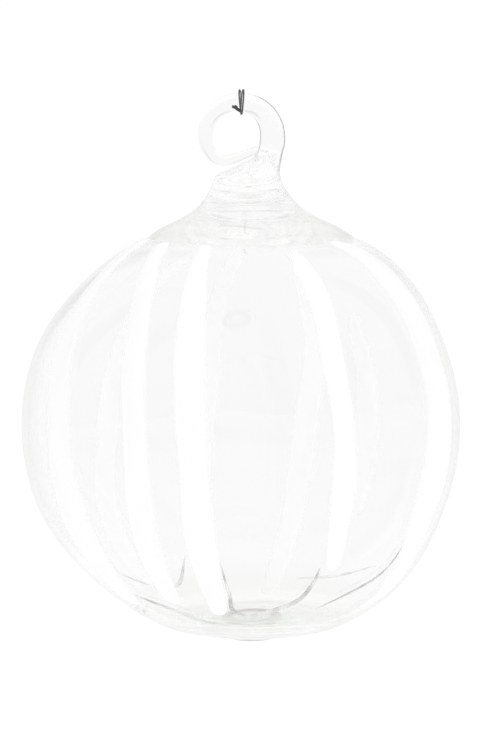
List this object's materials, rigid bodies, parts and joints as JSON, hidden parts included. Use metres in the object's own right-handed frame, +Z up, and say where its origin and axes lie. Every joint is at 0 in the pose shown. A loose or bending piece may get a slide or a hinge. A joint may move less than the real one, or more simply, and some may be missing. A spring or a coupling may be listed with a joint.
{
  "type": "glass ball ornament",
  "caption": "Hand-blown clear glass ball with raised white trailed stripes and a drawn glass ring for hanging, with a nylon line tied round the ring.",
  "frame": {"origin": "underside of the ring's crown, where a hanging line bears", "axes": "+Z up, away from the ball; +X to the right seen from the front; the front faces -Y, and the ring lies in the XZ plane"},
  "size_m": [0.079, 0.0791, 0.1004],
  "materials": {
    "clear_glass": "polished",
    "hanger_glass": "polished",
    "white_glass": "polished",
    "nylon_line": "satin"
  },
  "bodies": {
    "ornament": {"ball_shell": "clear_glass", "pontil_button": "clear_glass", "drawn_hanger": "hanger_glass", "stripe_left": "white_glass", "stripe_left_front": "white_glass", "stripe_centre_left": "white_glass", "stripe_centre_right": "white_glass", "stripe_right": "white_glass", "stripe_right_rear": "white_glass", "stripe_rear_right": "white_glass", "stripe_rear_centre_right": "white_glass", "stripe_rear_centre_left": "white_glass", "stripe_rear_left": "white_glass", "stripe_left_rear": "white_glass"},
    "tie": {"line_tie": "nylon_line"}
  },
  "joints": [
    {"name": "tie_slides_round_ring", "type": "hinge", "parent": "ornament", "child": "tie", "pos_m": [-0.00037, 0, -0.00433], "axis": [0, 1, 0], "range_deg": [-90, 35]}
  ]
}
